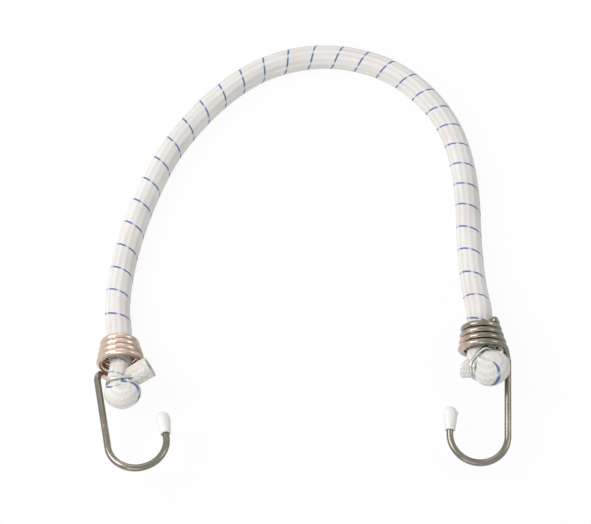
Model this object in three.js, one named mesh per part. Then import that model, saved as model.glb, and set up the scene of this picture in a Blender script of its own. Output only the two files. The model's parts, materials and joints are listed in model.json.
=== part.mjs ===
// Bungee cord: a braided elastic cord laid on a table in a loose arch. Each end passes through the
// coil of a one-piece wire hook, is folded back on itself and held there by a crimped wire clip, so
// that it can't pull out of the coil again. A soft cap covers the tip of each hook.
// Millimetres, +Z up, the table is z = 0, and the hooks point to -Y.

import * as THREE from "three";

// Cord
const cordDiameter = 10;
const sleeveWall = 0.7;
const strandClearance = 0.18;
const sleeveSides = 12;
const strandSides = 6;
const outerStrands = 6;
const cordStepLength = 9.5;

// Hook wire
const wireDiameter = 2.65;
const wireSides = 6;
const turnSteps = 24;
const turnGap = 0.12;
const throatRadius = 5;
const mouthRadius = 8.6;
const coilFlareShare = 1.1;
const legOffset = 9.2;
const elbowRadius = 5;
const elbowSteps = 6;
const legLength = 30.5;
const legLean = 5.7;
const hookRadius = 11;
const hookSteps = 16;
const tipLength = 8.1;
const cutEndAngle = 23;
const fullTurns = 3;

// Tip cap
const capLength = 9.5;
const capRimRadius = 2.1;
const capDomeRadius = 2.8;
const capSocketDepth = 7;
const capClearance = 0.15;
const capSides = 14;
const domeSteps = 5;

// Folded end of the cord and its clip
const seatClearance = 0.3;
const seamStandoff = 4;
const seamGap = 0.3;
const cordLead = 3;
const limbGap = 0.36;
const foldRadius = 3.6;
const clipLimbHalfWidth = 2.4;
const clipWireDiameter = 1.3;
const clipTurnGap = 0.3;
const clipTurnSteps = 24;
const clipLap = 100;
const clipNeckLength = 4;
const tailLead = 0.8;

// Squeeze of the cord's section, as shares of its free radius, across and along the fold's plane
const throatLeadShare = 0.98;
const mouthShare = 0.9;
const clipHeightShare = 0.84;
const pinchPlaceShare = 0.5;
const bulbHeightShare = 0.98;
const clipCornerShare = 0.33;
const tailWidthShare = 0.8;
const tailHeightShare = 0.9;

// Each end: turn and dip of the coil's axis, side of the leg, and the run of the fold past the mouth
const ends = {
  left: {
    yaw: 6,
    dip: -8.3,
    legSide: -1,
    foldYaw: 0,
    foldRise: 3,
    clipReach: 8.2,
    foldShift: 0.3,
    clipToFold: 3.6,
    tailOut: 8.6,
    tailUp: 5.4,
    pinchReach: 4.6,
    cutReach: 4.2,
    pinchShare: 0.58,
    pinchHeightShare: 0.66,
  },
  right: {
    yaw: 2.5,
    dip: 3.6,
    legSide: 1,
    foldYaw: 50,
    foldRise: 22,
    clipReach: 7.5,
    foldShift: 1.2,
    clipToFold: 4.2,
    tailOut: 2.8,
    tailUp: -1.4,
    pinchReach: 3.4,
    cutReach: 3.6,
    pinchShare: 0.62,
    pinchHeightShare: 0.75,
  },
};

// Route of the free cord on the table, from the left coil round the arch to the right coil:
// x, y, and the share of the climb from the table to the coil's axis made at that point
const routePoints = [
  [-71.8, 25.9, 1],
  [-73.2, 37, 0.75],
  [-73.2, 46.5, 0.42],
  [-72.4, 56, 0.14],
  [-70.9, 66, 0.02],
  [-68.4, 77.5, 0],
  [-64.9, 89.5, 0],
  [-61.5, 99.2, 0],
  [-57.4, 109, 0],
  [-51.7, 119.3, 0],
  [-43.7, 130.9, 0],
  [-35.4, 140.6, 0],
  [-26.8, 148.6, 0],
  [-18.2, 154.6, 0],
  [-9.5, 158.6, 0],
  [-0.8, 161.1, 0],
  [7.9, 162.2, 0],
  [16.6, 161.8, 0],
  [25.3, 160, 0],
  [33.9, 156.8, 0],
  [42.5, 151.5, 0],
  [51, 143.4, 0],
  [57.5, 134.6, 0],
  [62.2, 125.3, 0],
  [65.2, 115.7, 0],
  [67, 106, 0],
  [67.9, 96.1, 0],
  [68.2, 86, 0],
  [68, 78, 0.01],
  [67.9, 69.5, 0.06],
  [67.9, 60.5, 0.22],
  [68, 50.6, 0.5],
  [67.9, 45.5, 0.68],
  [68.3, 40, 0.88],
  [69.4, 33.3, 1],
];

// Sizes that follow from those above
const cordRadius = cordDiameter / 2;
const wireRadius = wireDiameter / 2;
const clipWireRadius = clipWireDiameter / 2;
const boreRadius = cordRadius - sleeveWall;
const facetShare = Math.cos(Math.PI / sleeveSides);
const strandRadius = (boreRadius * facetShare - 2 * strandClearance) / 3;
const strandRing = 2 * strandRadius + strandClearance;
const lyingHeight = cordRadius * facetShare;
const turnPitch = wireDiameter + turnGap;
const elbowTurn = (2 * elbowRadius) / (mouthRadius + legOffset);
const coilTurn = THREE.MathUtils.degToRad(cutEndAngle + 360 * (fullTurns + 1)) - elbowTurn;
const coilLength = (turnPitch * coilTurn) / (2 * Math.PI);
const limbHalfWidth = foldRadius - limbGap / 2;

const white = { color: 0xe9e5e0, roughness: 0.85, metalness: 0 };
const rubber = { color: 0xd8cdb4, roughness: 0.7, metalness: 0 };
const yellowZinc = { color: 0xb0a47e, roughness: 0.3, metalness: 1 };
const brightSteel = { color: 0xb9bbb2, roughness: 0.35, metalness: 1 };
const capPlastic = { color: 0xe9e9e4, roughness: 0.5, metalness: 0 };

function piece(name, geometry, look) {
  const mesh = new THREE.Mesh(geometry, new THREE.MeshStandardMaterial(look));
  mesh.name = name;
  return mesh;
}

// Closed surface through rings of points. Every ring has as many points, counter-clockwise seen
// from ahead. An inner set of rings makes it a tube with a bore through both ends.
function skinned(rings, innerRings) {
  const positions = [];
  const triangles = [];
  const sides = rings[0].length;
  const addRings = (set) => {
    const first = positions.length / 3;
    set.forEach((ring) => ring.forEach((p) => positions.push(p.x, p.y, p.z)));
    return first;
  };
  const addWall = (first, flip) => {
    for (let i = 0; i + 1 < rings.length; i += 1) {
      for (let k = 0; k < sides; k += 1) {
        const a = first + i * sides + k;
        const b = first + i * sides + ((k + 1) % sides);
        const c = a + sides;
        const d = b + sides;
        triangles.push(...(flip ? [a, d, b, a, c, d] : [a, b, d, a, d, c]));
      }
    }
  };
  const outer = addRings(rings);
  addWall(outer, false);
  const last = (rings.length - 1) * sides;
  if (innerRings) {
    const inner = addRings(innerRings);
    addWall(inner, true);
    for (let k = 0; k < sides; k += 1) {
      const next = (k + 1) % sides;
      triangles.push(outer + k, inner + k, outer + next, outer + next, inner + k, inner + next);
      const [a, b] = [outer + last + k, outer + last + next];
      const [c, d] = [inner + last + k, inner + last + next];
      triangles.push(a, b, c, b, d, c);
    }
  } else {
    for (let k = 1; k + 1 < sides; k += 1) {
      triangles.push(outer, outer + k + 1, outer + k);
      triangles.push(outer + last, outer + last + k, outer + last + k + 1);
    }
  }
  const geometry = new THREE.BufferGeometry();
  geometry.setAttribute("position", new THREE.Float32BufferAttribute(positions, 3));
  geometry.setIndex(triangles);
  return geometry;
}

// Polygon with a corner half a side away from the u axis, so that flats face along u and v
function polygon(sides, radius, centreU = 0, centreV = 0) {
  return Array.from({ length: sides }, (_, k) => {
    const angle = ((k + 0.5) * 2 * Math.PI) / sides;
    return new THREE.Vector2(centreU + radius * Math.cos(angle), centreV + radius * Math.sin(angle));
  });
}

// Places of the rubber strands in the cord's section: one in the middle and the rest round it
function strandCentres() {
  const round = Array.from({ length: outerStrands }, (_, k) => {
    const angle = (k * 2 * Math.PI) / outerStrands;
    return new THREE.Vector2(strandRing * Math.cos(angle), strandRing * Math.sin(angle));
  });
  return [new THREE.Vector2(), ...round];
}

// Ring of section points at a station, which has a place, two cross directions and two squeezes
function ringAt(station, section) {
  return section.map((p) =>
    station.place
      .clone()
      .addScaledVector(station.u, p.x * station.squeezeU)
      .addScaledVector(station.v, p.y * station.squeezeV),
  );
}

// Point in the plane of the leg, which leans in from the end of the elbow: so far aside, so far down
function legPoint(aside, down) {
  const place = new THREE.Vector3(aside, -down, 0);
  place.applyAxisAngle(new THREE.Vector3(0, 0, 1), -THREE.MathUtils.degToRad(legLean));
  return place.add(new THREE.Vector3(legOffset, -elbowRadius, 0));
}

// Hook: one wire, wound as a coil that flares to its mouth, then the leg, the hook and its tip.
// The coil's axis is Y, its mouth turn lies at y = 0, and the leg runs down along +X.
function wireStations() {
  const stations = [];
  const addRound = (angle, y, radius, tangent) => {
    const u = new THREE.Vector3(Math.cos(angle), 0, Math.sin(angle));
    const v = tangent.clone().cross(u).normalize();
    const place = u.clone().multiplyScalar(radius);
    place.y = y;
    stations.push({ place, u, v, squeezeU: 1, squeezeV: 1 });
  };
  const round = (angle) => new THREE.Vector3(Math.sin(angle), 0, -Math.cos(angle));
  const slope = Math.atan(turnPitch / (2 * Math.PI * mouthRadius));
  const steps = Math.round((coilTurn / (2 * Math.PI)) * turnSteps);
  for (let i = 0; i <= steps; i += 1) {
    const share = i / steps;
    const angle = elbowTurn + coilTurn * (1 - share);
    const flare = (mouthRadius - throatRadius - wireRadius) * share ** coilFlareShare;
    const tangent = round(angle).multiplyScalar(Math.cos(slope));
    tangent.y = -Math.sin(slope);
    addRound(angle, coilLength * (1 - share), throatRadius + wireRadius + flare, tangent);
  }
  const start = stations[0];
  const startTangent = round(elbowTurn + coilTurn);
  const stub = { ...start, place: start.place.clone().addScaledVector(startTangent, -wireDiameter) };
  stations.unshift(stub);
  for (let i = 1; i <= elbowSteps; i += 1) {
    const bend = ((i / elbowSteps) * Math.PI) / 2;
    const angle = elbowTurn * (1 - Math.sin(bend));
    const radius = mouthRadius + (legOffset - mouthRadius) * (1 - Math.cos(bend));
    const tangent = round(angle).multiplyScalar(Math.cos(bend));
    tangent.y = -Math.sin(bend);
    addRound(angle, -elbowRadius * (1 - Math.cos(bend)), radius, tangent);
  }
  const level = new THREE.Vector3(0, 0, 1);
  for (let i = 0; i <= hookSteps; i += 1) {
    const bend = (i / hookSteps) * Math.PI;
    const place = legPoint(hookRadius * (Math.cos(bend) - 1), legLength + hookRadius * Math.sin(bend));
    const u = place.clone().sub(legPoint(-hookRadius, legLength)).normalize();
    stations.push({ place, u, v: level, squeezeU: 1, squeezeV: 1 });
  }
  const tip = stations[stations.length - 1];
  const tipEnd = legPoint(-2 * hookRadius, legLength - tipLength);
  stations.push({ ...tip, place: tipEnd });
  return stations;
}

// Least distance between points of the wire that lie at least half a turn apart along it
function leastGap(rings, stepsApart) {
  let least = Infinity;
  rings.forEach((ring, i) => {
    rings.slice(i + stepsApart).forEach((other) => {
      ring.forEach((p) => other.forEach((q) => {
        least = Math.min(least, p.distanceTo(q));
      }));
    });
  });
  return least;
}

function wireGeometry() {
  const section = polygon(wireSides, wireRadius).map((p) => new THREE.Vector2(-p.y, p.x));
  const rings = wireStations().map((station) => ringAt(station, section));
  console.log("hook wire, least gap to itself:", leastGap(rings, turnSteps / 2).toFixed(2), "mm");
  return skinned(rings);
}

// Tip cap: soft moulding, wider towards its domed end, with a blind socket for the wire
function capGeometry() {
  const bore = wireRadius + capClearance;
  const profile = [
    new THREE.Vector2(0, capSocketDepth),
    new THREE.Vector2(bore, capSocketDepth),
    new THREE.Vector2(bore, 0),
    new THREE.Vector2(capRimRadius, 0),
  ];
  for (let i = 0; i < domeSteps; i += 1) {
    const angle = ((i / domeSteps) * Math.PI) / 2;
    const radius = capDomeRadius * Math.cos(angle);
    profile.push(new THREE.Vector2(radius, capLength - capDomeRadius * (1 - Math.sin(angle))));
  }
  profile.push(new THREE.Vector2(0, capLength));
  return new THREE.LatheGeometry(profile, capSides);
}

// Stations along the folded end, from the seam through the coil, the clip and the fold to the cut
function foldStations(end) {
  const yaw = THREE.MathUtils.degToRad(end.foldYaw);
  const rise = THREE.MathUtils.degToRad(end.foldRise);
  const out = new THREE.Vector3(-end.legSide, 0, 0);
  const ahead = new THREE.Vector3(end.legSide * Math.sin(yaw), -Math.cos(yaw), 0);
  const across = new THREE.Vector3(-end.legSide * Math.cos(yaw), -Math.sin(yaw), 0);
  ahead.multiplyScalar(Math.cos(rise)).setZ(Math.sin(rise));
  const normal = new THREE.Vector3().crossVectors(across, ahead).multiplyScalar(end.legSide);
  const clip = new THREE.Vector3(0, -end.clipReach, 0).addScaledVector(out, end.foldShift);
  clip.z = Math.tan(rise) * end.clipReach;
  const at = (along, sideways) =>
    clip.clone().addScaledVector(ahead, along).addScaledVector(across, sideways);
  const throatShare = (throatRadius - seatClearance) / cordRadius;
  const clipShare = clipLimbHalfWidth / cordRadius;
  const bulbShare = limbHalfWidth / cordRadius;
  const clipOffset = clipLimbHalfWidth + limbGap / 2;
  const neck = clipNeckLength / 2;
  const tail = at(-neck, clipOffset);
  const tailMiddle = at(-end.pinchReach, clipOffset).addScaledVector(out, end.tailOut * pinchPlaceShare);
  tailMiddle.z += end.tailUp * pinchPlaceShare;
  const tailEnd = at(-end.cutReach, clipOffset).addScaledVector(out, end.tailOut);
  tailEnd.z += end.tailUp;
  const diagonal = foldRadius * Math.SQRT1_2;
  const onAxis = (y) => new THREE.Vector3(0, y, 0);
  // Place, squeeze across, squeeze in height, and steps to the next point
  const guide = [
    [onAxis(coilLength + seamStandoff), 1, 1, 1],
    [onAxis(coilLength + seamStandoff / 2 + wireRadius), throatLeadShare, throatLeadShare, 1],
    [onAxis(coilLength + wireRadius), throatShare, throatShare, 1],
    [onAxis(coilLength / 2), throatShare, throatShare, 2],
    [onAxis(wireRadius), mouthShare, mouthShare, 2],
    [at(-neck, -clipOffset), clipShare, clipHeightShare, 1],
    [at(neck, -clipOffset), clipShare, clipHeightShare, 1],
    [at(end.clipToFold, -foldRadius), bulbShare, bulbHeightShare, 2],
    [at(end.clipToFold + diagonal, -diagonal), bulbShare, bulbHeightShare, 2],
    [at(end.clipToFold + foldRadius, 0), bulbShare, bulbHeightShare, 2],
    [at(end.clipToFold + diagonal, diagonal), bulbShare, bulbHeightShare, 2],
    [at(end.clipToFold, foldRadius), bulbShare, bulbHeightShare, 1],
    [at(neck, clipOffset), clipShare, clipHeightShare, 1],
    [tail, clipShare, clipHeightShare, 1],
    [at(-neck - tailLead, clipOffset + tailLead / 2), clipShare, clipHeightShare, 2],
    [tailMiddle, end.pinchShare, end.pinchHeightShare, 2],
    [tailEnd, tailWidthShare, tailHeightShare, 1],
  ];
  const path = new THREE.CatmullRomCurve3(guide.map((g) => g[0]), false, "centripetal");
  const squeeze = new THREE.CatmullRomCurve3(
    guide.map((g) => new THREE.Vector3(g[1], g[2], 0)),
    false,
    "centripetal",
  );
  const stations = [];
  guide.forEach((g, i) => {
    const steps = i + 1 < guide.length ? g[3] : 1;
    for (let k = 0; k < steps; k += 1) {
      const t = (i + k / steps) / (guide.length - 1);
      const tangent = path.getTangent(t);
      const u = new THREE.Vector3().crossVectors(normal, tangent).normalize();
      const v = new THREE.Vector3().crossVectors(tangent, u);
      const share = squeeze.getPoint(t);
      stations.push({ place: path.getPoint(t), u, v, squeezeU: share.x, squeezeV: share.y });
    }
  });
  return { stations, clip, ahead, across, normal, clipOffset };
}

// Clip: crimped wire round both limbs of the fold, its ends lapped side by side
function clipGeometry(fold, legSide) {
  const fit = seatClearance + clipWireRadius;
  const halfHeight = cordRadius * clipHeightShare + fit;
  const halfWidth = clipLimbHalfWidth + fit;
  const pitch = clipWireDiameter + clipTurnGap;
  const turn = 360 + clipLap;
  const steps = Math.round((turn / 360) * clipTurnSteps);
  const section = polygon(wireSides, clipWireRadius).map((p) => new THREE.Vector2(-p.y, p.x));
  const rings = [];
  for (let i = 0; i <= steps; i += 1) {
    const angle = THREE.MathUtils.degToRad(-clipLap / 2 + (turn * i) / steps);
    const spread = Math.max(-1, Math.min(1, Math.cos(angle) / clipCornerShare));
    const place = fold.clip
      .clone()
      .addScaledVector(fold.across, fold.clipOffset * spread + halfWidth * Math.cos(angle))
      .addScaledVector(fold.normal, halfHeight * Math.sin(angle))
      .addScaledVector(fold.ahead, (pitch * (turn / 360) * (i - steps / 2)) / steps);
    const u = fold.across
      .clone()
      .multiplyScalar(Math.cos(angle) / halfWidth)
      .addScaledVector(fold.normal, Math.sin(angle) / halfHeight)
      .normalize();
    rings.push(ringAt({ place, u, v: fold.ahead, squeezeU: 1, squeezeV: legSide }, section));
  }
  console.log("clip wire, least gap to itself:", leastGap(rings, clipTurnSteps / 2).toFixed(2), "mm");
  return skinned(rings);
}

function foldedEnd(side, end) {
  const group = new THREE.Group();
  const fold = foldStations(end);
  const swept = (section, inner) =>
    skinned(
      fold.stations.map((s) => ringAt(s, section)),
      inner && fold.stations.map((s) => ringAt(s, inner)),
    );
  const sleeve = swept(polygon(sleeveSides, cordRadius), polygon(sleeveSides, boreRadius));
  group.add(piece(`${side}_end_sleeve`, sleeve, white));
  strandCentres().forEach((centre, k) => {
    const strand = swept(polygon(strandSides, strandRadius, centre.x, centre.y));
    group.add(piece(`${side}_end_strand_${k + 1}`, strand, rubber));
  });
  group.add(piece(`${side}_clip`, clipGeometry(fold, end.legSide), brightSteel));
  return group;
}

function hook(side) {
  const group = new THREE.Group();
  group.add(piece(`${side}_hook_wire`, wireGeometry(), yellowZinc));
  const cap = piece(`${side}_tip_cap`, capGeometry(), capPlastic);
  cap.position.copy(legPoint(-2 * hookRadius, legLength - tipLength + capSocketDepth - capClearance));
  cap.rotation.z = -THREE.MathUtils.degToRad(legLean);
  group.add(cap);
  return group;
}

// An end stands where the cord's route ends, with its coil touching the table at the lowest point
function placedEnd(side, end, routeEnd) {
  const group = new THREE.Group();
  const hookGroup = hook(side);
  hookGroup.rotation.y = end.legSide > 0 ? 0 : Math.PI;
  group.add(hookGroup, foldedEnd(side, end));
  const yaw = THREE.MathUtils.degToRad(end.yaw);
  const dip = THREE.MathUtils.degToRad(end.dip);
  group.rotation.set(dip, 0, yaw, "ZYX");
  group.updateMatrixWorld(true);
  const height = -new THREE.Box3().setFromObject(hookGroup, true).min.z;
  const reach = new THREE.Vector3(0, coilLength + seamStandoff, 0).applyEuler(group.rotation);
  group.position.set(routeEnd[0] - reach.x, routeEnd[1] - reach.y, height);
  const seam = group.position.clone().add(reach);
  return { group, seam, axis: reach.normalize() };
}

// The free cord's route. Its sections stay upright, so that the cord's underside lies flat.
class CordRoute extends THREE.CatmullRomCurve3 {
  computeFrenetFrames(segments) {
    const tangents = [];
    const normals = [];
    const binormals = [];
    const up = new THREE.Vector3(0, 0, 1);
    for (let i = 0; i <= segments; i += 1) {
      const tangent = this.getTangentAt(i / segments);
      const normal = new THREE.Vector3().crossVectors(up, tangent).normalize();
      tangents.push(tangent);
      normals.push(normal);
      binormals.push(new THREE.Vector3().crossVectors(tangent, normal));
    }
    return { tangents, normals, binormals };
  }
}

// The cord leaves each coil straight for the length of its lead, then follows the chosen points
function freeCord(start, finish) {
  const middle = routePoints.length / 2;
  const points = routePoints.slice(1, -1).map(([x, y, share], i) => {
    const top = i < middle ? start.seam.z : finish.seam.z;
    return new THREE.Vector3(x, y, lyingHeight + share * (top - lyingHeight));
  });
  const lead = (end, length) => end.seam.clone().addScaledVector(end.axis, length);
  points.unshift(lead(start, seamGap), lead(start, cordLead));
  points.push(lead(finish, cordLead), lead(finish, seamGap));
  const route = new CordRoute(points, false, "centripetal");
  const steps = Math.round(route.getLength() / cordStepLength);
  const extruded = (section, hole) => {
    const shape = new THREE.Shape(section);
    if (hole) shape.holes.push(new THREE.Path(hole));
    return new THREE.ExtrudeGeometry(shape, { steps, extrudePath: route, bevelEnabled: false });
  };
  const group = new THREE.Group();
  const sleeve = extruded(polygon(sleeveSides, cordRadius), polygon(sleeveSides, boreRadius));
  group.add(piece("cord_sleeve", sleeve, white));
  strandCentres().forEach((centre, k) => {
    const strand = extruded(polygon(strandSides, strandRadius, centre.x, centre.y));
    group.add(piece(`core_strand_${k + 1}`, strand, rubber));
  });
  console.log("free cord length:", route.getLength().toFixed(1), "mm");
  return group;
}

const left = placedEnd("left", ends.left, routePoints[0]);
const right = placedEnd("right", ends.right, routePoints[routePoints.length - 1]);
const bungeeCord = new THREE.Group();
bungeeCord.add(left.group, right.group, freeCord(left, right));

export default bungeeCord;
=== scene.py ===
import json
import logging
import math
from dataclasses import dataclass, field
from enum import Enum
from functools import partialmethod

import bpy
import numpy as np
from mathutils import Matrix, Vector


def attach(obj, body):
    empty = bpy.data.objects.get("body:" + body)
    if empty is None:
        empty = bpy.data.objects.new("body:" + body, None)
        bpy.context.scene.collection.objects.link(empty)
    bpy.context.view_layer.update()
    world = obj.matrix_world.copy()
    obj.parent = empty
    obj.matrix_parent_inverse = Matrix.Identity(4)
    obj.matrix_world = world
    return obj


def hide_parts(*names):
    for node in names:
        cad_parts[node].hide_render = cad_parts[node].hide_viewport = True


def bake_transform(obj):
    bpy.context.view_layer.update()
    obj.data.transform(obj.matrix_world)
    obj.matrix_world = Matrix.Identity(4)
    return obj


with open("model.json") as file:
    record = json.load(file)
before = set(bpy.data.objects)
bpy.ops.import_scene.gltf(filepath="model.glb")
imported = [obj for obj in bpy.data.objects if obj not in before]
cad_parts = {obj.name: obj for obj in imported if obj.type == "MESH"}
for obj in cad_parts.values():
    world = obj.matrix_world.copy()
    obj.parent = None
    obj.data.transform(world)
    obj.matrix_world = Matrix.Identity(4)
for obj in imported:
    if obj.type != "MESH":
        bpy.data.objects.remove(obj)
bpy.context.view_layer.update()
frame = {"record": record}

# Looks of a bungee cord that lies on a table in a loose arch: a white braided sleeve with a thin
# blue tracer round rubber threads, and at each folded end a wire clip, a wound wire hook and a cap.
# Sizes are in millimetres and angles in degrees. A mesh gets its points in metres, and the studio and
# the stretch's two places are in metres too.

log = logging.getLogger("bungee_cord")

Array = np.ndarray
Material = bpy.types.Material
Piece = bpy.types.Object
Socket = bpy.types.NodeSocket
Colour = tuple[float, float, float, float]
Stripes = tuple[tuple[float, float], ...]

MM = 0.001

CORD_RADIUS = 5.0
SLEEVE_WALL = 0.7
LYING_HEIGHT = 4.8296
WIRE_RADIUS = 1.325
COIL_THROAT = 5.0
COIL_MOUTH = 8.6
COIL_PITCH = 2.77
COIL_LENGTH = 11.01
RIBS = 12
RIB_HEIGHT = 0.09
TRACER_PITCH = 10.77
SLEEVE_SIDES = 96
DOME_SHARE = 0.62
CUT_FADE = 7.0
UP = np.array([0.0, 0.0, 1.0])


class Side(Enum):
    """The two ends of the cord, as seen from the hooks. The value starts the end's piece names."""

    LEFT = "left"
    RIGHT = "right"

    @property
    def leg(self) -> int:
        """Side of the coil's axis on which the hook's leg runs, +1 towards local +X."""
        return 1 if self is Side.RIGHT else -1


# Curves and surfaces


def spline_through(points: Array, stops: Array) -> Array:
    """Centripetal Catmull-Rom curve through points.

    On the span from p1 to p2, with knots set apart by the square root of the points' distances,
    the slopes m1 and m2 are those of the parabolas through p0, p1, p2 and through p1, p2, p3, and
    the curve is the cubic with those two ends and slopes.

    Args:
        points: Points of shape (n, k).
        stops: Where on the curve, from 0 at the first point to n - 1 at the last.

    Returns:
        The curve's points, of shape (len(stops), k).
    """
    points = np.asarray(points, float)
    padded = np.vstack([2 * points[0] - points[1], points, 2 * points[-1] - points[-2]])
    span = np.clip(np.floor(stops).astype(int), 0, len(points) - 2)
    w = (stops - span)[:, None]
    p0, p1, p2, p3 = (padded[span + k] for k in range(4))

    def knot(a: Array, b: Array) -> Array:
        """Square root of the distance from a to b."""
        return np.sqrt(np.linalg.norm(b - a, axis=1))[:, None]

    d1 = knot(p1, p2)
    d1 = np.where(d1 < 1e-4, 1.0, d1)
    d0, d2 = knot(p0, p1), knot(p2, p3)
    d0 = np.where(d0 < 1e-4, d1, d0)
    d2 = np.where(d2 < 1e-4, d1, d2)
    m1 = ((p1 - p0) / d0 - (p2 - p0) / (d0 + d1) + (p2 - p1) / d1) * d1
    m2 = ((p2 - p1) / d1 - (p3 - p1) / (d1 + d2) + (p3 - p2) / d2) * d1
    c2 = -3 * p1 + 3 * p2 - 2 * m1 - m2
    c3 = 2 * p1 - 2 * p2 + m1 + m2
    return p1 + w * (m1 + w * (c2 + w * c3))


def run_length(line: Array) -> Array:
    """Length along a polyline up to each of its points."""
    return np.concatenate([[0.0], np.cumsum(np.linalg.norm(np.diff(line, axis=0), axis=1))])


def evenly(line: Array, spacing: float) -> tuple[Array, Array]:
    """Points set evenly along a polyline.

    Args:
        line: Polyline of shape (n, k), of which the first three columns are the place.
        spacing: Distance between neighbours, about.

    Returns:
        The points with all their columns, and the length along the line up to each.
    """
    along = run_length(line[:, :3])
    count = max(2, int(round(along[-1] / spacing)) + 1)
    at = np.linspace(0, along[-1], count)
    return np.stack([np.interp(at, along, column) for column in line.T], axis=1), at


def unit(vectors: Array) -> Array:
    """The same directions with length 1."""
    return vectors / np.maximum(np.linalg.norm(vectors, axis=-1, keepdims=True), 1e-12)


def tangents(line: Array) -> Array:
    """Directions of a polyline, by central differences."""
    return unit(np.gradient(line, axis=0))


def smooth_step(x: Array) -> Array:
    """3x^2 - 2x^3 between 0 and 1, and flat beyond."""
    x = np.clip(x, 0, 1)
    return x * x * (3 - 2 * x)


@dataclass
class Sweep:
    """A closed section carried along a line.

    The point of ring i at turn t is place[i] + x(i, t) * u[i] + y(i, t) * v[i], where x and y come
    from the section, and t runs from 0 to 1 round it.
    """

    place: Array
    u: Array
    v: Array
    along: Array

    @classmethod
    def beside(cls, place: Array, normal: Array, along: Array) -> "Sweep":
        """A sweep whose sections lean on one fixed normal: u is normal x direction."""
        direction = tangents(place)
        u = unit(np.cross(normal, direction))
        return cls(place, u, np.cross(direction, u), along)

    def rings(self, x: Array, y: Array) -> Array:
        """Points of all rings, of shape (rings, sides, 3), from section x and y of that shape."""
        return (
            self.place[:, None, :]
            + x[..., None] * self.u[:, None, :]
            + y[..., None] * self.v[:, None, :]
        )


def braid_ribs(turn: Array) -> Array:
    """Rise of the braid's skin in millimetres: 0.09 (cos^2(pi (nU - 1/4)) - 1/2), for n ribs."""
    return RIB_HEIGHT * (np.cos(np.pi * (RIBS * turn - 0.25)) ** 2 - 0.5)


def round_section(sides: int) -> tuple[Array, Array, Array]:
    """Unit circle: the turn from 0 to 1, its cosine and its sine."""
    turn = np.arange(sides) / sides
    return turn, np.cos(2 * np.pi * turn), np.sin(2 * np.pi * turn)


def tracer_turns(along: Array, stripes: Stripes) -> Array:
    """Turns of the tracer up to each length, at the even pitch beyond the listed stripes.

    The stripe that is number k crosses the cord's top where V + 1/4 = k + half a yarn. The turns
    between stripes are the mean of three straight-line readings, 4 mm apart.

    Args:
        along: Lengths along the cord.
        stripes: Lengths at which stripes cross the top, with their numbers.

    Returns:
        V at each length.
    """
    length, count = (np.array(column, float) for column in zip(*stripes))
    beyond = 10 * TRACER_PITCH
    length = np.concatenate([length[:1] - beyond, length, length[-1:] + beyond])
    count = np.concatenate([count[:1] - 10, count, count[-1:] + 10])
    readings = [np.interp(along + shift, length, count) for shift in (-4, 0, 4)]
    return sum(readings) / 3 + 0.5 / RIBS - 0.25


def new_object(name: str, data: bpy.types.ID) -> Piece:
    """Makes an object of a mesh, camera or lamp, and links it to the scene."""
    made = bpy.data.objects.new(name, data)
    bpy.context.scene.collection.objects.link(made)
    return made


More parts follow.
